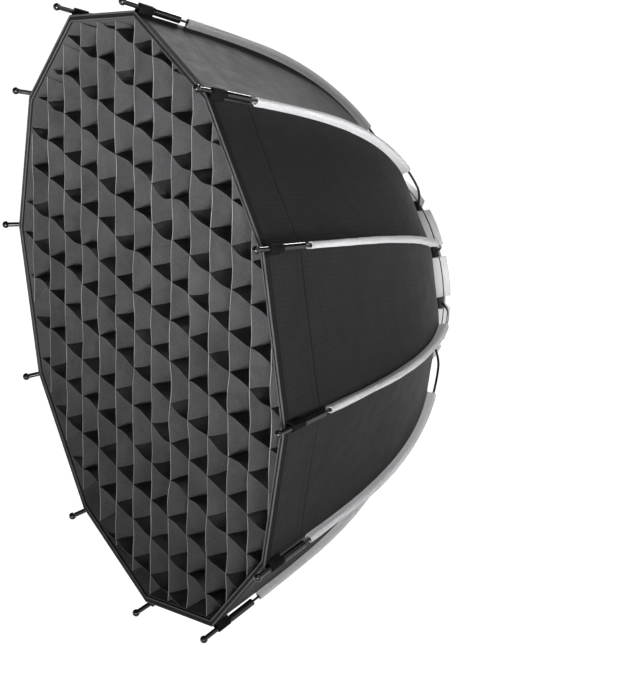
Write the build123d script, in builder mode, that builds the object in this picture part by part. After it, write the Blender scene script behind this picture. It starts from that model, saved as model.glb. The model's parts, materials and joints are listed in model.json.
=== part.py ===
"""Twelve-rib quick-fold octabox with an egg-crate grid, for a three-lug studio light mount.

The origin is on the light's axis, in the plane where the light's front face seats. +Y runs back
into the light, the mouth faces -Y and +Z is up. Everything is in millimetres.
"""
from build123d import *
import os
from math import cos, degrees, radians, sin, tan

# ---------------------------------------------------------------- ribs
RIB_COUNT = 12
RIB_STEP = 360 / RIB_COUNT
FIRST_RIB = RIB_STEP / 2            # degrees from +Z towards +X, so a flat side is on top
HINGE_RADIUS = 100.0                # hinge pin to light axis
HINGE_Y = -20.0
ROD_RADIUS = 1.3
HUB_BEND = (65.0, 31.7)             # radius and turn of the bend out of the hub
BOWED_ARC = (352.0, 32.8)           # radius and turn of the rod's long bow
LAZY_ARC = (1690.0, 2.4)            # nearly straight stretch before the lead
LEAD = 90.0                         # straight lead from the bow to the ball
BALL_RADIUS = 4.0
TIP_TUBE_RADIUS = 2.5
TIP_TUBE_LENGTH = 36.0
FERRULE_RADIUS = 3.75
FERRULE_LENGTH = 30.0
ROD_SEAT = 6.5                      # ball centre to the rod's end inside the tip tube
SOCKET_CLEARANCE = 0.05
BARREL_RADIUS = 5.0
BARREL_WIDTH = 12.0
PIN_RADIUS = 1.5
PIN_CLEARANCE = 0.05
PIN_LENGTH = 22.0

# ---------------------------------------------------------------- sleeves
SLEEVE_HALF_WIDTH = 2.8             # along the shell
SLEEVE_HALF_HEIGHT = 3.7            # away from the shell
SLEEVE_BORE = 1.9
BARE_BOW = 6.0                      # degrees of the bow left bare beside the hub
SLEEVE_LEAD = 15.0                  # sleeve on the straight lead

# ---------------------------------------------------------------- shell
RIM_Y = HINGE_Y - 290.6
RIM_RADIUS = 325.0                  # rod line where it crosses the rim plane
SHELL_THICKNESS = 1.5
SEAM_GAP = 0.4                      # between neighbouring panels, at the rib seam
# Bezier poles (radius, distance behind the rim) of the ridge under a rib
SHELL_POLES = ((RIM_RADIUS - 5.5, 0.0), (271.3, 113.5), (236.0, 232.5), (112.0, 280.5))

# ---------------------------------------------------------------- hub
HUB_OUTER = 103.0
HUB_INNER = 62.0
HUB_FRONT_Y = -28.0
HUB_REAR_Y = -8.0
SLOT_FLOOR = 92.0
SLOT_WIDTH = 12.6
TRIM_Y = -16.0
TRIM_WIDTH = 1.6
TRIM_DEPTH = 1.6
PLATE_OUTER = 90.0
PLATE_THICKNESS = 2.0
FLANGE_RADIUS = 75.0
LIGHT_BORE = 42.0
SPIGOT_RADIUS = 48.5
SPIGOT_LENGTH = 12.0
LUG_RADIUS = 53.0
LUG_THICKNESS = 4.0
LUG_COUNT = 3
LUG_SPAN = 36.0                     # degrees
SCREW_COUNT = 6
SCREW_CIRCLE = 68.5
SCREW_RADIUS = 2.0
SCREW_HOLE = 2.1
SCREW_HEAD = 4.0

# ---------------------------------------------------------------- grid, diffuser and baffle
GRID_DEPTH = 45.0
GRID_WALL = 1.5
GRID_FRONT_CORNER = 314.0
GRID_BACK_CORNER = 297.0
STRIP_PITCH = 44.0
STRIP_COUNT = 14
STRIP_THICKNESS = 1.0
STRIP_TILT = -18.0                  # degrees from +X towards +Z
NOTCH_WIDTH = 1.2
NOTCH_RELIEF = 0.2
STRIP_END_GAP = 0.3
DIFFUSER_SETBACK = 50.0             # behind the rim plane
DIFFUSER_CORNER = 293.0
CLOTH_THICKNESS = 1.0
BAFFLE_SETBACK = 180.0
BAFFLE_CORNER = 118.0
STRAP_COUNT = 6
STRAP_WIDTH = 12.0
STRAP_REACH = 230.0

HALF_STEP = radians(RIB_STEP / 2)


def rib_angle(rib):
    """Radians from +Z towards +X of a rib, counted from 1. Half numbers are panel middles."""
    return radians(FIRST_RIB + RIB_STEP * (rib - 1))


def radial_plane(rib):
    """Plane through the light axis and a rib: local x is the radius and local y is +Y."""
    angle = rib_angle(rib)
    return Plane(origin=(0, 0, 0), x_dir=(sin(angle), 0, cos(angle)),
                 z_dir=(-cos(angle), 0, sin(angle)))


def section(y):
    """Plane across the light axis at a given Y, facing the mouth."""
    return Plane.XZ.offset(-y)


def arc_end(point, dive, radius, turn):
    """Where an arc ends that turns towards the rim. dive is its slope in degrees."""
    start, end = radians(dive), radians(dive + turn)
    return (point[0] + radius * (sin(end) - sin(start)),
            point[1] - radius * (cos(start) - cos(end))), dive + turn


def draw_rib_line(point, dive, arcs, lead):
    """Draws tangent arcs and the straight lead in the active line, from the hub outwards."""
    for radius, turn in arcs:
        slope = radians(dive)
        JernArc(start=point, tangent=(cos(slope), -sin(slope)), radius=radius, arc_size=-turn)
        point, dive = arc_end(point, dive, radius, turn)
    slope = radians(dive)
    Line(point, (point[0] + lead * cos(slope), point[1] - lead * sin(slope)))


def finish(builder, name):
    builder.part.label = name
    export_step(builder.part, f"parts/{name}.step")


def make_rod(rib):
    """Sprung rod with the hinge barrel that turns on the hub's pin."""
    plane = radial_plane(rib)
    hinge = (HINGE_RADIUS, HINGE_Y)
    with BuildPart() as rib_rod:
        with BuildLine(plane) as line:
            draw_rib_line(hinge, 0.0, (HUB_BEND, BOWED_ARC, LAZY_ARC), LEAD - ROD_SEAT)
        with BuildSketch(Plane(origin=line.line @ 0, z_dir=line.line % 0)):
            Circle(ROD_RADIUS)
        sweep()
        with BuildSketch(plane):
            with Locations(hinge):
                Circle(BARREL_RADIUS)
        extrude(amount=BARREL_WIDTH / 2, both=True)
        with BuildSketch(plane):
            with Locations(hinge):
                Circle(PIN_RADIUS + PIN_CLEARANCE)
        extrude(amount=BARREL_WIDTH, both=True, mode=Mode.SUBTRACT)
    finish(rib_rod, f"rib_rod_{rib:02d}")


def make_tip(rib):
    """Metal tip: ball, thin tube and ferrule, bored for the rod's end."""
    point, dive = (HINGE_RADIUS, HINGE_Y), 0.0
    for arc in (HUB_BEND, BOWED_ARC, LAZY_ARC):
        point, dive = arc_end(point, dive, *arc)
    slope = radians(dive)
    ball = (point[0] + LEAD * cos(slope), point[1] - LEAD * sin(slope))
    plane = radial_plane(rib)
    inward = plane.from_local_coords(point) - plane.from_local_coords(ball)
    along = Plane(origin=plane.from_local_coords(ball), x_dir=plane.z_dir, z_dir=inward)
    with BuildPart() as rib_tip:
        with Locations(along):
            Sphere(BALL_RADIUS)
        with BuildSketch(along):
            Circle(TIP_TUBE_RADIUS)
        extrude(amount=TIP_TUBE_LENGTH)
        with BuildSketch(along.offset(TIP_TUBE_LENGTH)):
            Circle(FERRULE_RADIUS)
        extrude(amount=FERRULE_LENGTH)
        with BuildSketch(along.offset(ROD_SEAT - 0.5)):
            Circle(ROD_RADIUS + SOCKET_CLEARANCE)
        extrude(amount=TIP_TUBE_LENGTH + FERRULE_LENGTH, mode=Mode.SUBTRACT)
    finish(rib_tip, f"rib_tip_{rib:02d}")


def make_sleeve(rib):
    """Fabric rod pocket sewn along the shell's ridge."""
    plane = radial_plane(rib)
    start, dive = arc_end((HINGE_RADIUS, HINGE_Y), 0.0, *HUB_BEND)
    start, dive = arc_end(start, dive, BOWED_ARC[0], BARE_BOW)
    covered = (BOWED_ARC[0], BOWED_ARC[1] - BARE_BOW)
    with BuildPart() as rib_sleeve:
        with BuildLine(plane) as line:
            draw_rib_line(start, dive, (covered, LAZY_ARC), SLEEVE_LEAD)
        across = Plane(origin=line.line @ 0, x_dir=plane.z_dir, z_dir=line.line % 0)
        with BuildSketch(across):
            Ellipse(SLEEVE_HALF_WIDTH, SLEEVE_HALF_HEIGHT)
            Circle(SLEEVE_BORE, mode=Mode.SUBTRACT)
        sweep()
    finish(rib_sleeve, f"rib_sleeve_{rib:02d}")


def inset_poles(poles, depth):
    """Bezier poles moved towards the light axis, each along the normal of its legs."""
    moved = []
    for i, pole in enumerate(poles):
        before = poles[max(i - 1, 0)]
        after = poles[min(i + 1, len(poles) - 1)]
        leg = Vector(after[0] - before[0], after[1] - before[1]).normalized()
        moved.append((pole[0] - depth * leg.Y, pole[1] + depth * leg.X))
    return moved


def make_panel(rib):
    """Shell gore between one rib and the next, bowed front to back and flat from side to side."""
    middle = radial_plane(rib + 0.5)
    outer = [(radius * cos(HALF_STEP), RIM_Y + back) for radius, back in SHELL_POLES]
    inner = inset_poles(outer, SHELL_THICKNESS)
    reach = RIM_RADIUS * 1.1
    apex = SEAM_GAP / 2 / sin(HALF_STEP)
    with BuildPart() as shell_panel:
        with BuildSketch(middle):
            with BuildLine():
                Bezier(*outer)
                Line(outer[-1], inner[-1])
                Bezier(*inner[::-1])
                Line(inner[0], outer[0])
            make_face()
        extrude(amount=RIM_RADIUS / 2, both=True)
        with BuildSketch(Plane(origin=(0, 0, 0), x_dir=middle.x_dir, z_dir=(0, -1, 0))):
            with BuildLine():
                Polyline((apex, 0), (reach, (reach - apex) * tan(HALF_STEP)),
                         (reach, -(reach - apex) * tan(HALF_STEP)), close=True)
            make_face()
        extrude(amount=-RIM_Y * 1.1, mode=Mode.INTERSECT)
    finish(shell_panel, f"shell_panel_{rib:02d}")


def make_hub():
    """Hub ring with a slot for each rib, its trim, front plate, hinge pins and screws."""
    with BuildPart() as hub_ring:
        with BuildSketch(section(HUB_REAR_Y)):
            Circle(HUB_OUTER)
            Circle(HUB_INNER, mode=Mode.SUBTRACT)
        extrude(amount=HUB_REAR_Y - HUB_FRONT_Y)
        chamfer(hub_ring.edges().filter_by(GeomType.CIRCLE).sort_by(SortBy.LENGTH)[-2:], 0.8)
        with BuildSketch(section(TRIM_Y)):
            Circle(HUB_OUTER + 1)
            Circle(HUB_OUTER - TRIM_DEPTH, mode=Mode.SUBTRACT)
        extrude(amount=TRIM_WIDTH, mode=Mode.SUBTRACT)
        for rib in range(1, RIB_COUNT + 1):
            with BuildSketch(radial_plane(rib)):
                with Locations((SLOT_FLOOR, HINGE_Y)):
                    Rectangle(HUB_OUTER, 60, align=(Align.MIN, Align.CENTER))
            extrude(amount=SLOT_WIDTH / 2, both=True, mode=Mode.SUBTRACT)
            with BuildSketch(radial_plane(rib)):
                with Locations((HINGE_RADIUS, HINGE_Y)):
                    Circle(PIN_RADIUS)
            extrude(amount=PIN_LENGTH / 2, both=True, mode=Mode.SUBTRACT)
        with BuildSketch(section(HUB_REAR_Y)):
            with PolarLocations(SCREW_CIRCLE, SCREW_COUNT):
                Circle(SCREW_HOLE)
        extrude(amount=HUB_REAR_Y - HUB_FRONT_Y, mode=Mode.SUBTRACT)
    finish(hub_ring, "hub_ring")

    with BuildPart() as hub_trim_ring:
        with BuildSketch(section(TRIM_Y - 0.1)):
            Circle(HUB_OUTER - 0.4)
            Circle(HUB_OUTER - TRIM_DEPTH, mode=Mode.SUBTRACT)
            for rib in range(1, RIB_COUNT + 1):
                with Locations(Location((0, 0, 0), (0, 0, 90 - degrees(rib_angle(rib))))):
                    Rectangle(2 * HUB_OUTER, SLOT_WIDTH + 0.4, align=(Align.MIN, Align.CENTER),
                              mode=Mode.SUBTRACT)
        extrude(amount=TRIM_WIDTH - 0.2)
    finish(hub_trim_ring, "hub_trim_ring")

    with BuildPart() as hub_front_plate:
        with BuildSketch(section(HUB_FRONT_Y)):
            Circle(PLATE_OUTER)
            Circle(HUB_INNER, mode=Mode.SUBTRACT)
            with PolarLocations(SCREW_CIRCLE, SCREW_COUNT):
                Circle(SCREW_HOLE, mode=Mode.SUBTRACT)
        extrude(amount=PLATE_THICKNESS)
    finish(hub_front_plate, "hub_front_plate")

    with BuildPart() as hub_fasteners:
        for rib in range(1, RIB_COUNT + 1):
            with BuildSketch(radial_plane(rib)):
                with Locations((HINGE_RADIUS, HINGE_Y)):
                    Circle(PIN_RADIUS)
            extrude(amount=PIN_LENGTH / 2, both=True)
        with BuildSketch(section(0)):
            with PolarLocations(SCREW_CIRCLE, SCREW_COUNT):
                Circle(SCREW_RADIUS)
        extrude(amount=PLATE_THICKNESS - HUB_FRONT_Y)
        for spot in PolarLocations(SCREW_CIRCLE, SCREW_COUNT):
            with Locations(section(-SCREW_RADIUS / 2).location * spot):
                Cone(SCREW_RADIUS, SCREW_HEAD, SCREW_RADIUS, rotation=(180, 0, 0))
    finish(hub_fasteners, "hub_fasteners")


def make_bayonet():
    """Light-side parts: flange behind the hub, and the spigot with its three locking lugs."""
    with BuildPart() as bayonet_flange:
        with BuildSketch(section(0)):
            Circle(FLANGE_RADIUS)
            Circle(SPIGOT_RADIUS, mode=Mode.SUBTRACT)
        extrude(amount=-HUB_REAR_Y)
        for spot in PolarLocations(SCREW_CIRCLE, SCREW_COUNT):
            with Locations(section(0).location * spot):
                CounterSinkHole(SCREW_HOLE, SCREW_HEAD + 0.1, depth=-HUB_REAR_Y)
    finish(bayonet_flange, "bayonet_flange")

    with BuildPart() as bayonet_spigot:
        with BuildSketch(section(SPIGOT_LENGTH)):
            Circle(SPIGOT_RADIUS)
            Circle(LIGHT_BORE, mode=Mode.SUBTRACT)
        extrude(amount=SPIGOT_LENGTH - HUB_REAR_Y)
        with BuildSketch(section(SPIGOT_LENGTH)):
            for lug in range(LUG_COUNT):
                turn = lug * 360 / LUG_COUNT
                with BuildLine():
                    outer = CenterArc((0, 0), LUG_RADIUS, turn - LUG_SPAN / 2, LUG_SPAN)
                    inner = CenterArc((0, 0), SPIGOT_RADIUS - 1, turn - LUG_SPAN / 2, LUG_SPAN)
                    Line(outer @ 0, inner @ 0)
                    Line(outer @ 1, inner @ 1)
                make_face()
        extrude(amount=LUG_THICKNESS)
    finish(bayonet_spigot, "bayonet_spigot")


def dodecagon(radius):
    RegularPolygon(radius, RIB_COUNT, rotation=FIRST_RIB)


def make_grid():
    """Egg-crate grid: a twelve-sided band and two sets of half-lapped cloth strips."""
    rear_y = RIM_Y + GRID_DEPTH
    with BuildPart() as grid_border:
        for inset, mode in ((0, Mode.ADD), (GRID_WALL, Mode.SUBTRACT)):
            with BuildSketch(section(RIM_Y)):
                dodecagon(GRID_FRONT_CORNER - inset)
            with BuildSketch(section(rear_y)):
                dodecagon(GRID_BACK_CORNER - inset)
            loft(mode=mode)
    finish(grid_border, "grid_border")

    with BuildPart() as room:
        inset = GRID_WALL + STRIP_END_GAP
        with BuildSketch(section(RIM_Y)):
            dodecagon(GRID_FRONT_CORNER - inset)
        with BuildSketch(section(rear_y)):
            dodecagon(GRID_BACK_CORNER - inset)
        loft()

    tilt = radians(STRIP_TILT)
    span = 2 * GRID_FRONT_CORNER
    notch = GRID_DEPTH / 2 + NOTCH_RELIEF
    for name, turn, notch_front in (("grid_strips_long", 0, GRID_DEPTH),
                                    ("grid_strips_cross", 90, notch)):
        way = tilt + radians(turn)
        face = Plane(origin=(0, RIM_Y, 0), x_dir=(cos(way), 0, sin(way)), z_dir=(0, -1, 0))
        with BuildPart() as strips:
            with BuildSketch(face):
                with GridLocations(1, STRIP_PITCH, 1, STRIP_COUNT):
                    Rectangle(span, STRIP_THICKNESS)
            extrude(amount=-GRID_DEPTH)
            with BuildSketch(face.offset(-notch_front)):
                with GridLocations(STRIP_PITCH, 1, STRIP_COUNT, 1):
                    Rectangle(NOTCH_WIDTH, span)
            extrude(amount=notch, mode=Mode.SUBTRACT)
            add(room.part, mode=Mode.INTERSECT)
        with BuildPart() as whole_strips:       # without loose corners beyond the last notch
            add(strips.solids().sort_by(SortBy.VOLUME)[-STRIP_COUNT:])
        finish(whole_strips, name)


def make_diffusers():
    """Front diffuser behind the grid, and the small inner baffle with its elastic straps."""
    with BuildPart() as front_diffuser:
        with BuildSketch(section(RIM_Y + DIFFUSER_SETBACK)):
            dodecagon(DIFFUSER_CORNER)
        extrude(amount=CLOTH_THICKNESS)
    finish(front_diffuser, "front_diffuser")

    with BuildPart() as inner_baffle:
        with BuildSketch(section(RIM_Y + BAFFLE_SETBACK)):
            dodecagon(BAFFLE_CORNER)
        extrude(amount=CLOTH_THICKNESS)
    finish(inner_baffle, "inner_baffle")

    with BuildPart() as baffle_straps:
        root = BAFFLE_CORNER * cos(HALF_STEP)
        for strap in range(STRAP_COUNT):
            middle = radial_plane(2 * strap + 1.5).x_dir
            plane = Plane(origin=(0, RIM_Y + BAFFLE_SETBACK, 0), x_dir=middle, z_dir=(0, -1, 0))
            with BuildSketch(plane):
                with Locations(((root + STRAP_REACH * cos(HALF_STEP)) / 2, 0)):
                    Rectangle(STRAP_REACH * cos(HALF_STEP) - root, STRAP_WIDTH)
            extrude(amount=CLOTH_THICKNESS)
    finish(baffle_straps, "baffle_straps")


os.makedirs("parts", exist_ok=True)
for number in range(1, RIB_COUNT + 1):
    make_rod(number)
    make_tip(number)
    make_sleeve(number)
    make_panel(number)
make_hub()
make_bayonet()
make_grid()
make_diffusers()
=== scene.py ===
"""Twelve-rib octabox with an egg-crate grid: cloth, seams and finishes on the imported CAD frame."""
import json
from math import cos, floor, hypot, pi, radians, sin, tan
import bpy
import bmesh
import numpy as np
from mathutils import Matrix, Vector, noise


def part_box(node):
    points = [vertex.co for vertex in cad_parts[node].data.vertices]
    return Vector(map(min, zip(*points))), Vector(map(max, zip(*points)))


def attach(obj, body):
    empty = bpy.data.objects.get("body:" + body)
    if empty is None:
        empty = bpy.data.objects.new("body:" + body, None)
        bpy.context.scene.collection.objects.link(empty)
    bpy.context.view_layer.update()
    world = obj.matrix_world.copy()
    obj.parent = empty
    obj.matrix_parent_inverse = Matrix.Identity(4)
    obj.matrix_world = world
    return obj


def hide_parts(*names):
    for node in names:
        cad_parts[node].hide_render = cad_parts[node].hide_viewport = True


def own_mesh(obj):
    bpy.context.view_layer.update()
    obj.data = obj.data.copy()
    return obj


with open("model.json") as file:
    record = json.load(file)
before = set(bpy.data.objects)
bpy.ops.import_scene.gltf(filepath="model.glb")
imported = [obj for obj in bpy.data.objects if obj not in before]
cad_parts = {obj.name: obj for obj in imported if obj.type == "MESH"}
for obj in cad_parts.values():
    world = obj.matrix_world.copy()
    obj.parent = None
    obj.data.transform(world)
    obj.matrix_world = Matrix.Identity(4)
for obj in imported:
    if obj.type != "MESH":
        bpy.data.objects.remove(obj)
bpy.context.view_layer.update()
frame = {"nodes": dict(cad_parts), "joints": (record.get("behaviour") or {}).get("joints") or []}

MM = 0.001
UP_Y = Vector((0, 1, 0))

# ---------------------------------------------------------------- the frame's own numbers
RIB_JOINTS = [j for j in frame["joints"] if j["name"].startswith("rib_fold_")]
RIBS = len(RIB_JOINTS)
HALF_STEP = pi / RIBS
HINGE_RADIUS = hypot(RIB_JOINTS[0]["pos_m"][0], RIB_JOINTS[0]["pos_m"][2])
HINGE_Y = RIB_JOINTS[0]["pos_m"][1]
RIM_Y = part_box("shell_panel_01")[0].y

# ---------------------------------------------------------------- sizes shared with the CAD model
# a rod as three arcs (radius, turn): the bend at the hub, the bow and the nearly straight stretch
ROD_ARCS = ((0.065, radians(31.7)), (0.352, radians(32.8)), (1.690, radians(2.4)))
ROD_LEAD = 0.090                    # straight end of the rod, which carries the tip
BARE_BOW = radians(6.0)             # turn of the bow beside the hub that has no sleeve
SLEEVE_LEAD = 0.015                 # how far the sleeve runs along the straight end
# the shell's ridge, rim to hub: poles of a curve as (radius, distance behind the rim)
SHELL_POLES = ((0.3195, 0.0), (0.2713, 0.1135), (0.2360, 0.2325), (0.1120, 0.2805))
GRID_DEPTH = 0.045
GRID_CORNERS = (0.314, 0.297)       # corner radius of the grid's band, front and back
STRIP_PITCH = 0.044
STRIP_COUNT = 14                    # grid strips each way
STRIP_TILT = radians(-18)
DIFFUSER_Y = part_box("front_diffuser")[0].y
DIFFUSER_CORNER = 0.293
BAFFLE_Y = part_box("inner_baffle")[0].y
BAFFLE_CORNER = 0.118
STRAP_REACH = 0.230                 # where a baffle strap would meet a ridge
STRAP_WIDTH = 0.012

# ---------------------------------------------------------------- sizes of the cloth work
SHELL_THICKNESS = 0.0011
PANEL_SAG = 0.0045                  # of a panel's middle, inwards
PANEL_RIPPLE = 0.0009
RIPPLE_SIZE = 0.05
FOLD_TURN = radians(37)
FOLD_GAP = 0.0009                   # between the flat cloth of two neighbours when folded
WEDGE_LEAST = 0.0006                # half width that is always left to fold
NOTCH_START = 0.86                  # share of the ridge where the cloth is cut back under a rod
NOTCH_HALF = 0.017
NOTCH_CURVE = 1.6
RIM_SEAM = 0.050                    # lockstitched seam, behind the rim
TOPSTITCH = RIM_SEAM - 0.008
STRIP_THICKNESS = 0.0007
STRIP_SETBACK = 0.0004              # of the grid strips, behind the rim plane
BAND_THICKNESS = 0.0012
BAND_ROOM = 0.0022                  # from the band's corners in to the strips' ends
LONG_BOW = 0.0075                   # of a grid strip between two crossings
CROSS_BOW = 0.0045
CLOTH_BUCKLE = 0.0020
CROSSING_DRIFT = 0.0044             # how far the grid's crossings wander each way, at most
DISC_THICKNESS = 0.0008
DISC_WAVE = 0.0016

# ---------------------------------------------------------------- fineness of the meshes
SHARP_EDGE = radians(40)
SHELL_ROWS = 44                     # rim to hub
STRIP_COLUMNS = 8                   # a ridge to the edge of its flat cloth
WEDGE_COLUMNS = 9                   # from there to the panel's middle
ROD_STEP = 0.006
CELL_COLUMNS = 7                    # grid strip, one cell
BAND_COLUMNS = 8                    # grid band, one side
DISC_COLUMNS = 6                    # diffuser, one side


def rib_angle(rib):
    """Radians from +Z towards +X. Ribs count from 0, and half numbers are panel middles."""
    return HALF_STEP * (1 + 2 * rib)


def out_from(rib):
    """Away from the light axis, through a rib."""
    angle = rib_angle(rib)
    return Vector((sin(angle), 0, cos(angle)))


def along_from(rib):
    """Sideways across a rib, towards the next one."""
    angle = rib_angle(rib)
    return Vector((cos(angle), 0, -sin(angle)))


def numbered(word, rib):
    return f"{word}_{rib + 1:02d}"


# ================================================================ materials

class Shader:
    """A material with a Principled shader and short calls for the nodes behind it."""

    def __init__(self, name, color, roughness, **sockets):
        self.material = bpy.data.materials.new(name)
        self.material.use_nodes = True
        self.nodes = self.material.node_tree.nodes
        self.links = self.material.node_tree.links
        self.bsdf = self.nodes["Principled BSDF"]
        self.bsdf.inputs["Base Color"].default_value = (*color, 1)
        self.bsdf.inputs["Roughness"].default_value = roughness
        for socket, value in sockets.items():
            self.bsdf.inputs[socket.replace("_", " ")].default_value = value
        self.height = None

    def node(self, kind, **values):
        """A new node with its sockets, or else its own properties, set."""
        made = self.nodes.new(kind)
        for key, value in values.items():
            if key in made.inputs:
                made.inputs[key].default_value = value
            else:
                setattr(made, key, value)
        return made

    def math(self, operation, a, b=0.0):
        """The output of a math node, whose inputs are numbers or outputs."""
        made = self.node("ShaderNodeMath", operation=operation)
        for socket, value in zip(made.inputs, (a, b)):
            if isinstance(value, (int, float)):
                socket.default_value = value
            else:
                self.links.new(value, socket)
        return made.outputs[0]

    def coordinates(self, source="UV"):
        return self.node("ShaderNodeTexCoord").outputs[source]

    def split_uv(self):
        split = self.node("ShaderNodeSeparateXYZ")
        self.links.new(self.coordinates(), split.inputs[0])
        return split.outputs[0], split.outputs[1]

    def noise(self, scale, detail=3.0, source="Object", stretch=(1, 1, 1)):
        """Soft noise, 0 to 1. A larger scale gives a finer grain."""
        mapping = self.node("ShaderNodeMapping")
        mapping.inputs["Scale"].default_value = stretch
        self.links.new(self.coordinates(source), mapping.inputs["Vector"])
        made = self.node("ShaderNodeTexNoise", Scale=scale, Detail=detail)
        self.links.new(mapping.outputs[0], made.inputs["Vector"])
        return made.outputs[0]

    def ridges(self, value, pitch, sharp=1.0):
        """Rounded threads, 0 to 1, that repeat every pitch metres along a value in metres."""
        wave = self.math("SINE", self.math("MULTIPLY", value, 2 * pi / pitch))
        raised = self.math("ADD", self.math("MULTIPLY", wave, 0.5), 0.5)
        return self.math("POWER", raised, sharp)

    def raise_by(self, value, amount):
        """Adds value x amount, in metres, to the surface's height."""
        part = self.math("MULTIPLY", value, amount)
        self.height = part if self.height is None else self.math("ADD", self.height, part)

    def tint(self, factor, low, high):
        """Base colour runs from low to high as factor goes from 0 to 1."""
        ramp = self.node("ShaderNodeMix", data_type="RGBA")
        self.links.new(factor, ramp.inputs["Factor"])
        ramp.inputs["A"].default_value = (*low, 1)
        ramp.inputs["B"].default_value = (*high, 1)
        self.links.new(ramp.outputs["Result"], self.bsdf.inputs["Base Color"])
        return ramp

    def roughen(self, factor, low, high):
        """Roughness runs from low to high as factor goes from 0 to 1."""
        spread = self.node("ShaderNodeMapRange")
        self.links.new(factor, spread.inputs["Value"])
        spread.inputs["To Min"].default_value = low
        spread.inputs["To Max"].default_value = high
        self.links.new(spread.outputs[0], self.bsdf.inputs["Roughness"])

    def done(self):
        """The finished material, with its height as bump."""
        if self.height is not None:
            bump = self.node("ShaderNodeBump", Strength=1.0, Distance=1.0)
            self.links.new(self.height, bump.inputs["Height"])
            self.links.new(bump.outputs[0], self.bsdf.inputs["Normal"])
        return self.material


def shade(color, by):
    """A lighter or darker colour."""
    return tuple(min(1.0, c * by) for c in color)


def woven(name, color, roughness, thread=0.0007, depth=0.00006, mottle=0.18, **sockets):
    """Plain weave over a UV map in metres, with soft colour variation."""
    cloth = Shader(name, color, roughness, **sockets)
    u, v = cloth.split_uv()
    weave = cloth.math("MULTIPLY", cloth.ridges(u, thread), cloth.ridges(v, thread))
    cloth.raise_by(weave, depth)
    cloth.tint(cloth.noise(28), shade(color, 1 - mottle), shade(color, 1 + mottle))
    return cloth


def ripstop_cloth():
    """Black ripstop: raised threads in small squares, and two rows of stitching behind the rim."""
    color = (0.0095, 0.0095, 0.0103)
    stitch_color = (0.002, 0.002, 0.002, 1)
    square = 0.005
    seam_half, topstitch_half = 0.0011, 0.0005
    cloth = woven("shell_ripstop", color, 0.6, depth=0.00004, Sheen_Weight=0.02,
                  Sheen_Roughness=0.5, Specular_IOR_Level=0.12)
    u, v = cloth.split_uv()
    squares = cloth.math("MAXIMUM", cloth.ridges(u, square, 18.0), cloth.ridges(v, square, 18.0))
    cloth.raise_by(squares, 0.00009)
    from_seam = cloth.math("ABSOLUTE", cloth.math("SUBTRACT", v, RIM_SEAM))
    from_topstitch = cloth.math("ABSOLUTE", cloth.math("SUBTRACT", v, TOPSTITCH))
    topstitch = cloth.math("LESS_THAN", from_topstitch, topstitch_half)
    seam = cloth.math("MAXIMUM", cloth.math("LESS_THAN", from_seam, seam_half),
                      cloth.math("MULTIPLY", topstitch, 0.6))
    cloth.raise_by(seam, -0.0007)
    cloth.raise_by(cloth.noise(55, 2, stretch=(1, 0.35, 1)), 0.0008)
    cloth.raise_by(cloth.noise(9, 2), 0.0015)
    cloth.roughen(cloth.noise(60), 0.52, 0.70)
    ramp = cloth.tint(squares, color, shade(color, 1.4))
    dark = cloth.node("ShaderNodeMix", data_type="RGBA")
    cloth.links.new(seam, dark.inputs["Factor"])
    cloth.links.new(ramp.outputs["Result"], dark.inputs["A"])
    dark.inputs["B"].default_value = stitch_color
    cloth.links.new(dark.outputs["Result"], cloth.bsdf.inputs["Base Color"])
    return cloth.done()


def lining_cloth():
    """Silver reflective lining with a pebbled foil face."""
    lining = Shader("silver_lining", (0.72, 0.73, 0.74), 0.34, Metallic=0.75)
    lining.raise_by(lining.noise(420, 2), 0.0004)
    lining.raise_by(lining.noise(30, 2), 0.0020)
    lining.tint(lining.noise(80), (0.62, 0.63, 0.64), (0.78, 0.79, 0.80))
    return lining.done()


def sleeve_cloth():
    """Light grey satin: fine weave, cross wrinkles and slubs."""
    color = (0.44, 0.44, 0.45)
    cloth = woven("sleeve_satin", color, 0.75, depth=0.00008, mottle=0.10,
                  Sheen_Weight=0.15, Sheen_Roughness=0.5, Specular_IOR_Level=0.25)
    cloth.raise_by(cloth.noise(90, 2, "UV", (0.35, 1.0, 1)), 0.0014)
    slubs = cloth.noise(650, 2, "UV", (0.4, 1.6, 1))
    cloth.raise_by(slubs, 0.0008)
    cloth.tint(slubs, shade(color, 0.70), shade(color, 1.25))
    return cloth.done()


def grid_cloth():
    """Matte cloth with a fine rib, soft dents and an uneven shade."""
    color = (0.059, 0.059, 0.061)
    cloth = woven("grid_cloth", color, 0.8, thread=0.0009, depth=0.00010, mottle=0.22,
                  Sheen_Weight=0.03, Sheen_Roughness=0.5, Specular_IOR_Level=0.10)
    u, v = cloth.split_uv()
    ribs = cloth.math("MULTIPLY", cloth.ridges(u, 0.0014), cloth.ridges(v, 0.0011))
    cloth.raise_by(ribs, 0.00012)
    cloth.raise_by(cloth.noise(60, 3), 0.0016)
    cloth.raise_by(cloth.noise(23, 2), 0.0090)
    cloth.roughen(cloth.noise(90), 0.66, 0.84)
    patches = cloth.math("ADD", cloth.math("MULTIPLY", cloth.noise(17), 0.6),
                         cloth.math("MULTIPLY", cloth.noise(600, 2), 0.4))
    cloth.tint(patches, shade(color, 0.25), shade(color, 1.75))
    return cloth.done()


def edge_cloth(name, color):
    """Ribbed binding tape."""
    cloth = Shader(name, color, 0.75, Specular_IOR_Level=0.10)
    along = cloth.split_uv()[1]
    cloth.raise_by(cloth.ridges(along, 0.0016), 0.00025)
    cloth.tint(cloth.noise(120), shade(color, 0.8), shade(color, 1.2))
    return cloth.done()


def diffuser_cloth():
    """White translucent weave that is a little slack."""
    cloth = woven("diffuser_cloth", (0.80, 0.80, 0.79), 0.6, thread=0.0006, depth=0.00005,
                  mottle=0.03, Subsurface_Weight=0.15, Sheen_Weight=0.1)
    cloth.raise_by(cloth.noise(14, 3), 0.006)
    return cloth.done()


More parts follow.
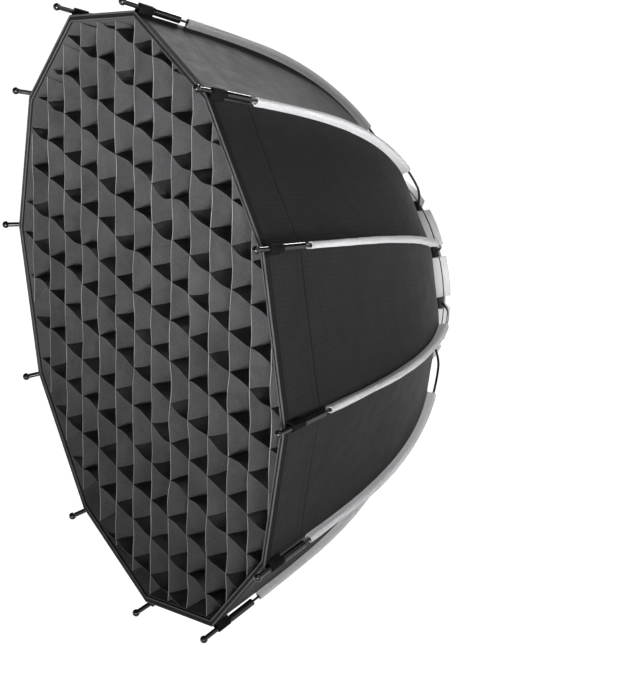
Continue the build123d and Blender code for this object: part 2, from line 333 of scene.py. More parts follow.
def painted(name, color, roughness, grain=300.0, depth=0.00002, **sockets):
    """Smooth painted or plated metal with fine grain and slight wear."""
    metal = Shader(name, color, roughness, **sockets)
    metal.raise_by(metal.noise(grain, 3), depth)
    metal.roughen(metal.noise(45), roughness * 0.75, roughness * 1.3)
    metal.tint(metal.noise(60), shade(color, 0.86), shade(color, 1.12))
    return metal.done()


def turned_metal(name, color, roughness):
    """Machined face with lathe marks about the light axis."""
    metal = Shader(name, color, roughness, Metallic=0.9)
    split = metal.node("ShaderNodeSeparateXYZ")
    metal.links.new(metal.coordinates("Object"), split.inputs[0])
    square = metal.math("ADD", metal.math("POWER", metal.math("ABSOLUTE", split.outputs[0]), 2.0),
                        metal.math("POWER", metal.math("ABSOLUTE", split.outputs[2]), 2.0))
    radius = metal.math("SQRT", square)
    metal.raise_by(metal.ridges(radius, 0.0009), 0.00002)
    metal.roughen(metal.noise(50), roughness * 0.8, roughness * 1.3)
    metal.tint(metal.noise(70), shade(color, 0.9), shade(color, 1.08))
    return metal.done()


RIPSTOP = ripstop_cloth()
LINING = lining_cloth()
SATIN = sleeve_cloth()
GRID = grid_cloth()
GRID_EDGE = edge_cloth("grid_edge_binding", (0.42, 0.42, 0.43))
PIPING = edge_cloth("rim_piping", (0.085, 0.085, 0.089))
BINDING = edge_cloth("rim_binding", (0.0095, 0.0095, 0.0103))
WEBBING = edge_cloth("black_webbing", (0.004, 0.004, 0.0045))
DIFFUSER = diffuser_cloth()
ELASTIC = edge_cloth("white_elastic", (0.70, 0.70, 0.69))
ROD_BLACK = painted("rod_black", (0.006, 0.006, 0.0065), 0.32, Coat_Weight=0.1)
TIP_BLACK = painted("tip_black_gloss", (0.006, 0.006, 0.0065), 0.22, Coat_Weight=0.2)
HUB_SILVER = painted("hub_silver", (0.60, 0.60, 0.61), 0.38, depth=0.00005, Metallic=0.35)
HUB_GREY = painted("hub_moulded_grey", (0.52, 0.52, 0.53), 0.42, grain=900.0, depth=0.00004)
BAYONET = turned_metal("bayonet_turned", (0.66, 0.66, 0.67), 0.3)
STEEL = painted("plated_steel", (0.40, 0.40, 0.41), 0.28, Metallic=1.0)
TRIM = painted("trim_black", (0.010, 0.010, 0.010), 0.6)


# ================================================================ meshes

def new_object(name, mesh, materials, smooth=True):
    """Puts a mesh in the scene with its materials."""
    for material in materials:
        mesh.materials.append(material)
    for polygon in mesh.polygons:
        polygon.use_smooth = smooth
    made = bpy.data.objects.new(name, mesh)
    bpy.context.scene.collection.objects.link(made)
    return made


def mesh_from(name, points, faces, uvs, slots, materials):
    """A closed mesh. uvs holds one corner list per face, and slots one material slot per face."""
    mesh = bpy.data.meshes.new(name)
    mesh.from_pydata([tuple(p) for p in points], [], faces)
    layer = mesh.uv_layers.new(name="UVMap")
    flat = [value for corners in uvs for uv in corners for value in uv]
    layer.data.foreach_set("uv", flat)
    made = new_object(name, mesh, materials)
    mesh.polygons.foreach_set("material_index", slots)
    body = bmesh.new()
    body.from_mesh(mesh)
    bmesh.ops.recalc_face_normals(body, faces=body.faces)
    for edge in body.edges:
        edge.smooth = edge.calc_face_angle(0) < SHARP_EDGE
    body.to_mesh(mesh)
    body.free()
    return made


def grid_lengths(points):
    """UVs in metres for a grid of points: across each row, and along each column."""
    across = np.zeros(points.shape[:2])
    along = np.zeros(points.shape[:2])
    across[:, 1:] = np.cumsum(np.linalg.norm(np.diff(points, axis=1), axis=2), axis=1)
    along[1:, :] = np.cumsum(np.linalg.norm(np.diff(points, axis=0), axis=2), axis=0)
    return across, along


def cloth_piece(name, points, thickness, materials, back=0, edges=(0, 0, 0, 0), uv=None):
    """Closed cloth from a grid of points on its face, thickened away from its normal.
    back is the material slot of its back, and edges those of its first and last row and column."""
    rows, columns = points.shape[:2]
    row_step = np.gradient(points, axis=0)
    column_step = np.gradient(points, axis=1)
    normal = np.cross(column_step, row_step)
    normal /= np.maximum(np.linalg.norm(normal, axis=2, keepdims=True), 1e-12)
    under = points - normal * thickness
    across, along = uv if uv is not None else grid_lengths(points)
    everything = np.concatenate([points.reshape(-1, 3), under.reshape(-1, 3)])
    half = rows * columns
    faces, uvs, slots = [], [], []

    def add(corners, places, slot):
        faces.append(corners)
        uvs.append([(across[r, c], along[r, c]) for r, c in places])
        slots.append(slot)

    for r in range(rows - 1):
        for c in range(columns - 1):
            places = [(r, c), (r, c + 1), (r + 1, c + 1), (r + 1, c)]
            top = [a * columns + b for a, b in places]
            add(top, places, 0)
            add([half + i for i in reversed(top)], places[::-1], back)
    rims = (([(0, c) for c in range(columns)], edges[0]),
            ([(rows - 1, c) for c in range(columns)], edges[1]),
            ([(r, 0) for r in range(rows)], edges[2]),
            ([(r, columns - 1) for r in range(rows)], edges[3]))
    for line, slot in rims:
        for a, b in zip(line, line[1:]):
            i, j = a[0] * columns + a[1], b[0] * columns + b[1]
            add([i, j, half + j, half + i], [a, b, b, a], slot)
    return mesh_from(name, everything, faces, uvs, slots, materials)


def lofted(name, groups, materials):
    """One mesh of closed lofts. Each group is (rings, slot): rings of the same count of points,
    joined in order and capped at both ends."""
    points, faces, uvs, slots = [], [], [], []
    for rings, slot in groups:
        start = len(points)
        size = len(rings[0])
        for ring in rings:
            points.extend(ring)
        sides = [(Vector(rings[0][(i + 1) % size]) - Vector(rings[0][i])).length for i in range(size)]
        around = np.concatenate([[0], np.cumsum(sides)])
        length = 0.0
        for r in range(len(rings) - 1):
            step = (Vector(rings[r + 1][0]) - Vector(rings[r][0])).length
            for i in range(size):
                j = (i + 1) % size
                a, b = start + r * size, start + (r + 1) * size
                faces.append([a + i, a + j, b + j, b + i])
                uvs.append([(around[i], length), (around[i + 1], length),
                            (around[i + 1], length + step), (around[i], length + step)])
                slots.append(slot)
            length += step
        last = start + (len(rings) - 1) * size
        for cap in ([start + i for i in reversed(range(size))], [last + i for i in range(size)]):
            faces.append(cap)
            uvs.append([(around[i % size], 0.0) for i in range(size)])
            slots.append(slot)
    return mesh_from(name, points, faces, uvs, slots, materials)


def declare_sheet(made):
    """Reads a cloth piece's UV map, which is the cloth laid flat, in metres, and leaves it unused."""
    uv = np.zeros(len(made.data.uv_layers[0].data) * 2)
    made.data.uv_layers[0].data.foreach_get("uv", uv)
    uv = uv.reshape(-1, 2)


# ================================================================ shell

def bezier(poles, t):
    """Point of a cubic curve, with t from 0 to 1."""
    a, b, c, d = (Vector(p) for p in poles)
    s = 1 - t
    return a * s ** 3 + b * 3 * s * s * t + c * 3 * s * t * t + d * t ** 3


def cloth_noise(point, size, seed=0.0):
    """Smooth noise from about -1 to 1, in lumps of the given size."""
    return noise.noise(Vector(point) / size + Vector((seed, seed * 0.7, -seed)))


def panel_point(rib, side, t, reach):
    """Point on the shell beside a rib: t runs from rim to hub, reach from ridge to panel middle."""
    radius, back = bezier(SHELL_POLES, t)
    ridge = out_from(rib) * radius
    normal = out_from(rib + 0.5 * side)
    middle = normal * (radius * cos(HALF_STEP))
    # deepest a little nearer the rim than the hub, and gone just before the hub
    sag = PANEL_SAG * sin(pi * min(1.0, t * 1.08) ** 0.85) * (1 - (1 - reach) ** 2)
    spot = ridge.lerp(middle, reach) + UP_Y * (RIM_Y + back)
    ripple = PANEL_RIPPLE * cloth_noise(spot, RIPPLE_SIZE) * min(1.0, 12 * t)
    return spot - normal * (sag + ripple)


def half_width(t):
    """From a ridge to the middle of the panel beside it."""
    return bezier(SHELL_POLES, t).x * sin(HALF_STEP)


def rigid_half(t):
    """Width beside a ridge that stays flat on its rib: all that fits between folded ribs."""
    radius, back = bezier(SHELL_POLES, t)
    folded = (HINGE_RADIUS + (radius - HINGE_RADIUS) * cos(FOLD_TURN)
              + (RIM_Y + back - HINGE_Y) * sin(FOLD_TURN))
    slope = cos(HALF_STEP) + sin(HALF_STEP) * tan(HALF_STEP) * cos(FOLD_TURN)
    return min((folded * tan(HALF_STEP) - FOLD_GAP) / slope, half_width(t) - WEDGE_LEAST)


def ridge_length(t, steps=40):
    """Length of the ridge from the rim."""
    spots = [bezier(SHELL_POLES, t * i / steps) for i in range(steps + 1)]
    return sum((b - a).length for a, b in zip(spots, spots[1:]))


def shell_strip(rib, sewn_on):
    """Cloth on both sides of a ridge, notched under the bare rod at the hub."""
    columns = 2 * STRIP_COLUMNS - 1
    points = np.zeros((SHELL_ROWS, columns, 3))
    across = np.zeros((SHELL_ROWS, columns))
    along = np.zeros((SHELL_ROWS, columns))
    for c in range(columns):
        share = (c - STRIP_COLUMNS + 1) / (STRIP_COLUMNS - 1)
        side = 1 if share >= 0 else -1
        off_ridge = min(1.0, abs(share) * rigid_half(1.0) / NOTCH_HALF)
        end = NOTCH_START + (1 - NOTCH_START) * off_ridge ** NOTCH_CURVE
        for r in range(SHELL_ROWS):
            t = end * r / (SHELL_ROWS - 1)
            distance = abs(share) * rigid_half(t)
            points[r, c] = panel_point(rib, side, t, distance / half_width(t))
            across[r, c] = side * distance
            along[r, c] = ridge_length(t)
    made = cloth_piece(numbered("shell_ridge", rib), points, SHELL_THICKNESS, [RIPSTOP, LINING],
                       back=1, uv=(across, along))
    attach(made, numbered("rib", rib))
    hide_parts(numbered("shell_panel", rib))
    declare_sheet(made)


def fold_with(made, rib):
    """The piece rides on its rib, with a mesh of its own."""
    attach(made, numbered("rib", rib))
    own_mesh(made)


def shell_wedge(rib, side):
    """Cloth from beside a ridge to the middle of the panel."""
    points = np.zeros((SHELL_ROWS, WEDGE_COLUMNS, 3))
    across = np.zeros((SHELL_ROWS, WEDGE_COLUMNS))
    along = np.zeros((SHELL_ROWS, WEDGE_COLUMNS))
    for r in range(SHELL_ROWS):
        t = r / (SHELL_ROWS - 1)
        start = rigid_half(t) / half_width(t)
        for c in range(WEDGE_COLUMNS):
            share = c / (WEDGE_COLUMNS - 1)
            share = share if side > 0 else 1 - share
            reach = start + (1 - start) * share
            points[r, c] = panel_point(rib, side, t, reach)
            across[r, c] = side * reach * half_width(t)
            along[r, c] = ridge_length(t)
    word = "a" if side > 0 else "b"
    made = cloth_piece(f"{numbered('shell_gore', rib)}_{word}", points, SHELL_THICKNESS,
                       [RIPSTOP, LINING], back=1, uv=(across, along))
    fold_with(made, rib)
    declare_sheet(made)


# rim binding in section: (outwards from the shell, behind the rim)
BINDING_SECTION = ((-0.0008, 0.0045), (0.0012, -0.0014), (-0.0008, -0.0022), (-0.0040, -0.0022),
                   (-0.0048, -0.0014), (-0.0044, 0.0030), (-0.0012, 0.0030), (-0.0016, 0.0045))
PIPING_SPOTS = ((0.0006, -0.0020), (-0.0044, -0.0020))
PIPING_RADIUS = 0.0009
HEM_STEPS = 6                       # of the rim binding beside the flat cloth


def rim_rings(rib, side, reaches, section):
    """Rings of a section carried along the rim beside a rib, with reaches as in panel_point and
    negative ones on its other side."""
    rings = []
    for reach in reaches:
        spot = panel_point(rib, side if reach >= 0 else -side, 0.0, abs(reach))
        if reach == 0:
            outward = out_from(rib) / cos(HALF_STEP)
        else:
            outward = out_from(rib + 0.5 * (side if reach > 0 else -side))
        rings.append([spot + outward * x + UP_Y * y for x, y in section])
    return rings


def circle_section(centre, radius, count=8):
    """Points round a circle, for piping."""
    turns = [2 * pi * i / count for i in range(count)]
    return [(centre[0] + radius * cos(turn), centre[1] + radius * sin(turn)) for turn in turns]


def rim_piece(name, rib, side, reaches):
    """A stretch of rim binding with its two lines of piping."""
    groups = [(rim_rings(rib, side, reaches, BINDING_SECTION), 0)]
    for spot in PIPING_SPOTS:
        groups.append((rim_rings(rib, side, reaches, circle_section(spot, PIPING_RADIUS)), 1))
    made = lofted(name, groups, [BINDING, PIPING])
    return made


def rim_binding(rib):
    """The rim's binding at a rib, by side: 0 over the ridge, 1 and -1 on the cloth that folds."""
    name = numbered("rim_binding", rib)
    near = rigid_half(0) / half_width(0)
    centre = rim_piece(name, rib, 1, [-near, -near / 2, 0, near / 2, near])
    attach(centre, numbered("rib", rib))
    hems = {0: centre}
    for side, word in ((1, "a"), (-1, "b")):
        reaches = [near + (1 - near) * i / HEM_STEPS for i in range(HEM_STEPS + 1)]
        hems[side] = rim_piece(f"{name}_{word}", rib, side, reaches)
        fold_with(hems[side], rib)
    return hems


# ================================================================ rods

def rod_stations(lead):
    """(radius, y, dive) at steps along the rod, from the end of its bare bow to lead metres into
    its straight end. dive is how far it has turned from straight out to straight ahead."""
    spot = Vector((HINGE_RADIUS, HINGE_Y))
    dive = 0.0
    stations = []
    for index, (radius, turn) in enumerate(ROD_ARCS):
        centre = spot - Vector((sin(dive), cos(dive))) * radius
        first = BARE_BOW if index == 1 else 0.0
        count = max(2, int(radius * (turn - first) / ROD_STEP))
        for i in range(count + 1):
            at = dive + first + (turn - first) * i / count
            place = centre + Vector((sin(at), cos(at))) * radius
            if index > 0 and (i > 0 or index == 1):
                stations.append((place.x, place.y, at))
        spot = centre + Vector((sin(dive + turn), cos(dive + turn))) * radius
        dive += turn
    steps = int(lead / ROD_STEP) + 1
    for i in range(1, steps + 1):
        run = lead * i / steps
        stations.append((spot.x + run * cos(dive), spot.y - run * sin(dive), dive))
    return stations


def rod_axes(rib, station):
    """Centre, outward and sideways directions at a place on a rod."""
    radius, y, dive = station
    out = out_from(rib)
    return (out * radius + UP_Y * y, out * sin(dive) + UP_Y * cos(dive), along_from(rib))


RIDGE_LINE = [bezier(SHELL_POLES, i / 400) for i in range(401)]
# half outline of the pocket round its rod, in mm: (across, away from the shell)
POCKET_OUTLINE = ((0.0, 3.6), (1.2, 3.4), (2.3, 2.8), (3.0, 1.7), (3.3, 0.4), (3.15, -0.9),
                  (2.7, -2.1), (2.3, -3.2))
POCKET_BASE = 2.1                   # half width in mm where the pocket is sewn to the ridge
POCKET_LEAN = 0.7                   # how far its top wanders sideways, in mm
POCKET_PINCH = 0.00035
POCKET_SHARE = 0.72                 # the pocket's inner face, as a share of its outer one
SLEEVE_UV_STEP = 0.0012             # cloth between two points of the outline, about
CUT_EDGE = 0.001                    # the sleeve's open ends, in its UV map


def ridge_gap(radius, y):
    """Distance from the rod's line to the shell's ridge."""
    return min(hypot(spot.x - radius, spot.y + RIM_Y - y) for spot in RIDGE_LINE)


def pocket_ring(rib, station, along):
    """Section of the upright cloth pocket: wide over the rod and narrow where it is sewn on."""
    centre, out, side = rod_axes(rib, station)
    # the last two points are just above the ridge and just under it
    seat = -ridge_gap(station[0], station[1]) / MM
    half = list(POCKET_OUTLINE) + [(POCKET_BASE, seat + 0.9), (POCKET_BASE, seat - 0.4)]
    lean = POCKET_LEAN * cloth_noise((along / 0.05, rib * 1.7, 0.2), 1.0)
    ring = []
    for across, rise in half + [(-a, r) for a, r in reversed(half[1:])]:
        spot = centre + (side * (across + lean * max(0.0, rise) / 3) + out * rise) * MM
        pinch = cloth_noise(spot, 0.011, rib) + 1.2 * cloth_noise(spot, 0.035, 7 + rib)
        ring.append(spot + side * (POCKET_PINCH * pinch * (1 if across >= 0 else -1)))
    return ring


def inner_ring(rib, station, ring):
    """The pocket's inner face: its outer ring drawn in towards the rod."""
    centre = rod_axes(rib, station)[0]
    return [centre + (point - centre) * POCKET_SHARE for point in ring]


def sleeve_uv(i, low, high):
    """Corners in the sleeve's UV map of the face after point i of its outline."""
    left, right = i * SLEEVE_UV_STEP, (i + 1) * SLEEVE_UV_STEP
    return [(left, low), (right, low), (right, high), (left, high)]


def rod_sleeve(rib):
    """Light grey pocket that stands off the ridge round the rod, open at both ends."""
    stations = rod_stations(SLEEVE_LEAD)
    outer = [pocket_ring(rib, s, i * ROD_STEP) for i, s in enumerate(stations)]
    inner = [inner_ring(rib, s, ring) for s, ring in zip(stations, outer)]
    size = len(outer[0])
    points = [p for ring in outer for p in ring] + [p for ring in inner for p in ring]
    under = len(outer) * size
    faces, uvs = [], []
    for r in range(len(outer) - 1):
        for i in range(size):
            j = (i + 1) % size
            a, b = r * size, (r + 1) * size
            uv = sleeve_uv(i, r * ROD_STEP, (r + 1) * ROD_STEP)
            faces.append([a + i, a + j, b + j, b + i])
            faces.append([under + a + i, under + b + i, under + b + j, under + a + j])
            uvs += [uv, [uv[0], uv[3], uv[2], uv[1]]]
    for ring in (0, len(outer) - 1):
        for i in range(size):
            j = (i + 1) % size
            a = ring * size
            faces.append([a + i, a + j, under + a + j, under + a + i])
            uvs.append(sleeve_uv(i, 0, CUT_EDGE))
    made = mesh_from(numbered("sleeve_cloth", rib), points, faces, uvs, [0] * len(faces), [SATIN])
    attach(made, numbered("rib", rib))
    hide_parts(numbered("rib_sleeve", rib))
    declare_sheet(made)


# section of the webbing loop round the tip tube: (across, away from the shell)
LOOP_OUTER = ((-0.0052, -0.0062), (-0.0050, -0.0030), (-0.0044, 0.0012), (-0.0026, 0.0036),
              (0.0, 0.0042), (0.0026, 0.0036), (0.0044, 0.0012), (0.0050, -0.0030),
              (0.0052, -0.0062))
LOOP_INNER = ((0.0038, -0.0062), (0.0036, -0.0030), (0.0031, 0.0004), (0.0018, 0.0022),
              (0.0, 0.0028), (-0.0018, 0.0022), (-0.0031, 0.0004), (-0.0036, -0.0030),
              (-0.0038, -0.0062))
LOOP_RUNS = (0.0180, 0.0185, 0.0220, 0.0270, 0.0320, 0.0335, 0.0340)    # back from the rod's end
LOOP_SOFT_END = 0.93


def webbing_loop(rib):
    """Flat loop that ties the rim's corner to the tip tube."""
    end_radius, end_y, dive = rod_stations(ROD_LEAD)[-1]
    rings = []
    for run in LOOP_RUNS:
        station = (end_radius - run * cos(dive), end_y + run * sin(dive), dive)
        centre, out, side = rod_axes(rib, station)
        soft = LOOP_SOFT_END if run in (LOOP_RUNS[0], LOOP_RUNS[-1]) else 1.0
        rings.append([centre + side * (x * soft) + out * (y * soft) for x, y in LOOP_OUTER + LOOP_INNER])
    made = lofted(numbered("webbing_loop", rib), [(rings, 0)], [WEBBING])
    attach(made, numbered("rib", rib))
    return made


# ================================================================ grid and diffusers

FAR = 10.0                          # past anything in the scene
PARALLEL = 1e-9
STRIP_DEPTHS = (0.0, 0.0012, 0.006, 0.014, 0.023, 0.032, 0.040, GRID_DEPTH - 0.0004)
BAND_DEPTHS = (0.0, 0.0012, 0.008, 0.018, 0.028, 0.038, GRID_DEPTH)
DRIFT_RADIUS = 0.285                # where the wander of the crossings has died away


def polygon_span(offset, way, apothem):
    """Ends of the chord of a twelve-sided opening along a direction, at an offset to its left."""
    low, high = -FAR, FAR
    run = (cos(way), sin(way))
    left = (-sin(way), cos(way))
    for k in range(RIBS):
        angle = 2 * HALF_STEP * k
        facing = (sin(angle), cos(angle))
        room = apothem - offset * (facing[0] * left[0] + facing[1] * left[1])
        slope = facing[0] * run[0] + facing[1] * run[1]
        if slope > PARALLEL:
            high = min(high, room / slope)
        elif slope < -PARALLEL:
            low = max(low, room / slope)
        elif room < 0:
            return 0.0, 0.0
    return low, high


def drift(x, z, depth):
    """How far the sewn crossings of the grid have wandered from a true lattice."""
    fade = max(0.0, 1 - (hypot(x, z) / DRIFT_RADIUS) ** 6)
    place = Vector((x, depth * 0.5, z))
    wander = Vector((cloth_noise(place, 0.06, 3), 0, cloth_noise(place, 0.06, 11)))
    return wander * (CROSSING_DRIFT * fade)


def grid_strip(name, node, way, offset, seed, bow_size, edge):
    """One cloth strip of the egg-crate, bowed between its crossings and slightly buckled.
    seed sets its own noise, and edge is the material of its front edge."""
    front_apothem = (GRID_CORNERS[0] - BAND_ROOM) * cos(HALF_STEP)
    back_apothem = (GRID_CORNERS[1] - BAND_ROOM) * cos(HALF_STEP)
    run = Vector((cos(way), 0, sin(way)))
    left = Vector((-sin(way), 0, cos(way)))
    columns = STRIP_COUNT * CELL_COLUMNS
    points = np.zeros((len(STRIP_DEPTHS), columns + 1, 3))
    for r, depth in enumerate(STRIP_DEPTHS):
        share = depth / GRID_DEPTH
        apothem = front_apothem + (back_apothem - front_apothem) * share
        low, high = polygon_span(offset, way, apothem)
        for c in range(columns + 1):
            at = low + (high - low) * c / columns
            cell = at / STRIP_PITCH + 0.5
            inside = cell - floor(cell)
            # each cell has its own bow, which is slighter at the back
            bow = cloth_noise((floor(cell) * 7.3, seed * 3.1, 0.5), 1.0)
            bow *= bow_size * sin(pi * inside) * (1 - 0.45 * share)
            buckle = CLOTH_BUCKLE * cloth_noise((at / 0.030, depth / 0.022, seed * 1.9), 1.0)
            spot = run * at + left * (offset + bow + buckle)
            spot += drift(spot.x, spot.z, depth)
            spot.y = RIM_Y + STRIP_SETBACK + depth + 0.0006 * cloth_noise(spot, 0.03, seed)
            points[r, c] = spot
    made = cloth_piece(name, points, STRIP_THICKNESS, [GRID, edge], edges=(1, 0, 0, 0))
    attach(made, "grid")
    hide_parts(node)
    declare_sheet(made)


def grid_band():
    """Twelve-sided cloth band round the grid."""
    columns = RIBS * BAND_COLUMNS
    points = np.zeros((len(BAND_DEPTHS), columns + 1, 3))
    for r, depth in enumerate(BAND_DEPTHS):
        corner = GRID_CORNERS[0] + (GRID_CORNERS[1] - GRID_CORNERS[0]) * depth / GRID_DEPTH
        for c in range(columns + 1):
            rib, part = divmod(c % columns, BAND_COLUMNS)
            spot = (out_from(rib) * corner).lerp(out_from(rib + 1) * corner, part / BAND_COLUMNS)
            spot.y = RIM_Y + depth
            points[r, c] = spot
    points[:, -1] = points[:, 0]
    made = cloth_piece("grid_band", points, BAND_THICKNESS, [GRID])
    merge_seam(made)
    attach(made, "grid")
    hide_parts("grid_border")
    declare_sheet(made)


WELD = 0.00005                      # points closer than this are one


def merge_seam(made):
    """Joins the first and last column of a ring of cloth, and drops the faces between them."""
    body = bmesh.new()
    body.from_mesh(made.data)
    bmesh.ops.remove_doubles(body, verts=body.verts, dist=WELD)
    seen, double = {}, []
    for face in body.faces:
        key = frozenset(v.index for v in face.verts)
        if key in seen:
            double += [face, seen[key]]
        seen[key] = face
    bmesh.ops.delete(body, geom=double, context="FACES_ONLY")
    bmesh.ops.recalc_face_normals(body, faces=body.faces)
    body.to_mesh(made.data)
    body.free()


def cloth_disc(name, corner, y, rings, dimple, materials, tape):
    """Twelve-sided cloth with its middle dimple metres behind its rim, and tape that wide round it."""
    count = RIBS * DISC_COLUMNS
    points = [Vector((0, y + dimple, 0))]
    for ring in range(1, rings + 1):
        share = ring / rings
        for c in range(count):
            rib, part = divmod(c, DISC_COLUMNS)
            edge = (out_from(rib) * corner).lerp(out_from(rib + 1) * corner, part / DISC_COLUMNS)
            spot = edge * share
            wave = DISC_WAVE * cloth_noise(spot, 0.07, 5) * sin(pi * share)
            spot.y = y + dimple * (1 - share ** 2) + wave
            points.append(spot)
    half = len(points)
    points += [p + UP_Y * DISC_THICKNESS for p in points]
    faces, uvs, slots = [], [], []

    def add(face, slot):
        faces.append(face)
        uvs.append([(points[i].x, points[i].z) for i in face])
        slots.append(slot)

    for c in range(count):
        d = (c + 1) % count
        add([0, 1 + d, 1 + c], 0)
        add([half, half + 1 + c, half + 1 + d], 0)
        for ring in range(rings - 1):
            a, b = 1 + ring * count, 1 + (ring + 1) * count
            slot = 1 if (ring + 2) / rings > 1 - tape / corner else 0
            add([a + c, a + d, b + d, b + c], slot)
            add([half + a + c, half + b + c, half + b + d, half + a + d], slot)
        last = 1 + (rings - 1) * count
        add([last + c, last + d, half + last + d, half + last + c], 1)
    return mesh_from(name, points, faces, uvs, slots, materials)


def front_diffuser():
    """White sheet behind the grid, with black hook-and-loop tape round it."""
    made = cloth_disc("diffuser_sheet", DIFFUSER_CORNER, DIFFUSER_Y, rings=24, dimple=0.002,
                      materials=[DIFFUSER, WEBBING], tape=0.016)
    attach(made, "diffuser")
    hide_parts("front_diffuser")
    declare_sheet(made)


def inner_baffle():
    """Small white sheet in front of the lamp, with an elastic hem."""
    made = cloth_disc("baffle_sheet", BAFFLE_CORNER, BAFFLE_Y, rings=14, dimple=0.0015,
                      materials=[DIFFUSER, ELASTIC], tape=0.010)
    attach(made, "hub")
    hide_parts("inner_baffle")
    declare_sheet(made)


def baffle_straps():
    """Six elastic straps from the baffle's sides to the panels."""
    rows, columns = 16, 5
    overlap = 0.004
    start = BAFFLE_CORNER * cos(HALF_STEP) - overlap
    end = STRAP_REACH * cos(HALF_STEP)
    for strap in range(RIBS // 2):
        out, side = out_from(2 * strap + 0.5), along_from(2 * strap + 0.5)
        points = np.zeros((rows, columns, 3))
        for r in range(rows):
            for c in range(columns):
                across = STRAP_WIDTH / 2 * (c / 2 - 1)
                spot = out * (start + (end - start) * r / (rows - 1)) + side * across
                points[r, c] = spot + UP_Y * (BAFFLE_Y - 0.0006 + 0.0003 * sin(r * 0.8))
        made = cloth_piece(f"baffle_strap_{strap + 1}", points, 0.0009, [ELASTIC])
        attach(made, "hub")
        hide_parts("baffle_straps")
        declare_sheet(made)
        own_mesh(made)


# ================================================================ CAD nodes

def finish_cad():
    """Finishes for the hard parts that are shown as they are."""
    finishes = {"hub_ring": HUB_GREY, "hub_front_plate": HUB_SILVER, "hub_trim_ring": TRIM,
                "hub_fasteners": STEEL, "bayonet_flange": BAYONET, "bayonet_spigot": BAYONET}
    for rib in range(RIBS):
        finishes[numbered("rib_rod", rib)] = ROD_BLACK
        finishes[numbered("rib_tip", rib)] = TIP_BLACK
    for name, material in finishes.items():
        node = frame["nodes"][name]
        node.data.materials.clear()
        node.data.materials.append(material)


# ================================================================ studio

# solved from the rim's corners, the rods and the tips in the photo
CAMERA_SPOT = Vector((2.7051, RIM_Y - 1.1317, 0.3667))
CAMERA_RIGHT = Vector((0.4526, 0.8839, -0.1179))
CAMERA_UP = Vector((-0.0723, 0.1682, 0.9831))
CAMERA_LENS = 152.6
SENSOR_HEIGHT = 36.0
FLOOR_Z = -1.5
FLOOR_RADIUS = 60
GLOW_START, GLOW_END = 1.4, 3.2     # the floor's painted glow brightens from dim to white between these radii


def add_camera():
    data = bpy.data.cameras.new("camera")
    data.sensor_fit = "VERTICAL"
    data.sensor_height = SENSOR_HEIGHT
    data.lens = CAMERA_LENS
    camera = bpy.data.objects.new("camera", data)
    right = CAMERA_RIGHT.normalized()
    back = right.cross(CAMERA_UP).normalized()
    up = back.cross(right)
    turn = Matrix((right, up, back)).transposed().to_4x4()
    camera.matrix_world = Matrix.Translation(CAMERA_SPOT) @ turn
    bpy.context.scene.collection.objects.link(camera)
    bpy.context.scene.camera = camera
    bpy.context.scene.view_settings.view_transform = "Standard"


def add_area(name, direction, distance, size, watts, target=(0, -0.2, 0), spread=180):
    """A panel light that looks at a target from a direction. A small spread makes it a beam."""
    data = bpy.data.lights.new(name, "AREA")
    data.spread = radians(spread)
    data.shape = "RECTANGLE"
    data.size, data.size_y = size
    data.energy = watts
    light = bpy.data.objects.new(name, data)
    aim = Vector(target)
    light.location = aim + Vector(direction).normalized() * distance
    light.rotation_euler = (aim - light.location).to_track_quat("-Z", "Y").to_euler()
    light.visible_camera = False
    bpy.context.scene.collection.objects.link(light)


def ramp_between(nodes, links, value, start, end, low, high):
    """A value that eases from low to high as the input goes from start to end."""
    fall = nodes.new("ShaderNodeMapRange")
    fall.interpolation_type = "SMOOTHSTEP"
    for socket, number in (("From Min", start), ("From Max", end), ("To Min", low), ("To Max", high)):
        fall.inputs[socket].default_value = number
    links.new(value, fall.inputs["Value"])
    return fall.outputs[0]


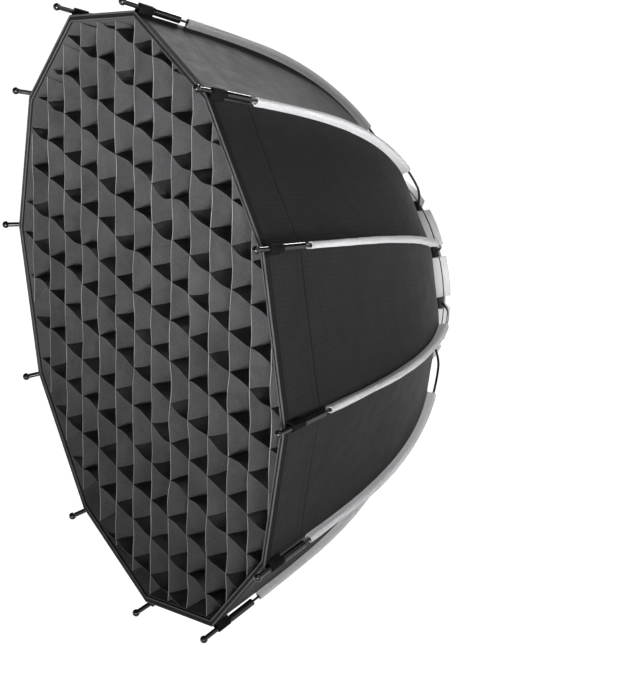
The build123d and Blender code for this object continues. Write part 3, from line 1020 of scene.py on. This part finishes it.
def add_world():
    """White up to a little over the horizon, under a dim ceiling."""
    world = bpy.data.worlds.new("studio")
    world.use_nodes = True
    nodes, links = world.node_tree.nodes, world.node_tree.links
    split = nodes.new("ShaderNodeSeparateXYZ")
    links.new(nodes.new("ShaderNodeTexCoord").outputs["Generated"], split.inputs[0])
    level = ramp_between(nodes, links, split.outputs[2], 0.07, 0.15, 1.05, 0.02)
    links.new(level, nodes["Background"].inputs["Strength"])
    nodes["Background"].inputs["Color"].default_value = (1, 1, 1, 1)
    bpy.context.scene.world = world


def add_studio():
    """Three panel lights, and a pale floor far under the object whose painted glow is dim near the
    object and white far out.
    """
    add_world()
    add_area("key", (0.80, -0.52, -0.36), 2.6, (1.4, 0.5), 7.2, (0.18, -0.3, 0.25), 32)
    add_area("back_top", (-0.50, 0.58, 0.62), 2.6, (0.9, 0.6), 36)
    add_area("side_top", (0.75, 0.22, 0.63), 2.6, (1.6, 1.2), 18)

    ground = bpy.data.meshes.new("floor")
    body = bmesh.new()
    bmesh.ops.create_circle(body, cap_ends=True, segments=96, radius=FLOOR_RADIUS)
    body.to_mesh(ground)
    body.free()
    floor_paint_and_glow = Shader("pale_floor", (0.86, 0.86, 0.86), 0.9)
    floor_paint_and_glow.tint(floor_paint_and_glow.noise(0.8), (0.85, 0.85, 0.85), (0.88, 0.88, 0.88))
    # painted glow: the floor's emission is dim near the object and rises to white with distance from it
    reach = floor_paint_and_glow.node("ShaderNodeVectorMath", operation="LENGTH")
    floor_paint_and_glow.links.new(floor_paint_and_glow.coordinates("Object"), reach.inputs[0])
    glow = ramp_between(floor_paint_and_glow.nodes, floor_paint_and_glow.links, reach.outputs["Value"],
                        GLOW_START, GLOW_END, 0.22, 1.1)
    floor_paint_and_glow.links.new(glow, floor_paint_and_glow.bsdf.inputs["Emission Strength"])
    floor_paint_and_glow.bsdf.inputs["Emission Color"].default_value = (1, 1, 1, 1)
    made = new_object("floor", ground, [floor_paint_and_glow.done()], smooth=False)
    made.location.z = FLOOR_Z


add_camera()
add_studio()
finish_cad()
for rib_number in range(RIBS):
    rim = rim_binding(rib_number)
    shell_strip(rib_number, [rim[0], webbing_loop(rib_number)])
    shell_wedge(rib_number, 1)
    shell_wedge(rib_number, -1)
    rod_sleeve(rib_number)
grid_band()
for number in range(STRIP_COUNT):
    shift = (number - (STRIP_COUNT - 1) / 2) * STRIP_PITCH
    grid_strip(f"grid_long_{number + 1:02d}", "grid_strips_long", STRIP_TILT, shift, number,
               LONG_BOW, GRID)
    grid_strip(f"grid_cross_{number + 1:02d}", "grid_strips_cross", STRIP_TILT + pi / 2, shift,
               40 + number, CROSS_BOW, GRID_EDGE)
front_diffuser()
baffle_straps()
inner_baffle()
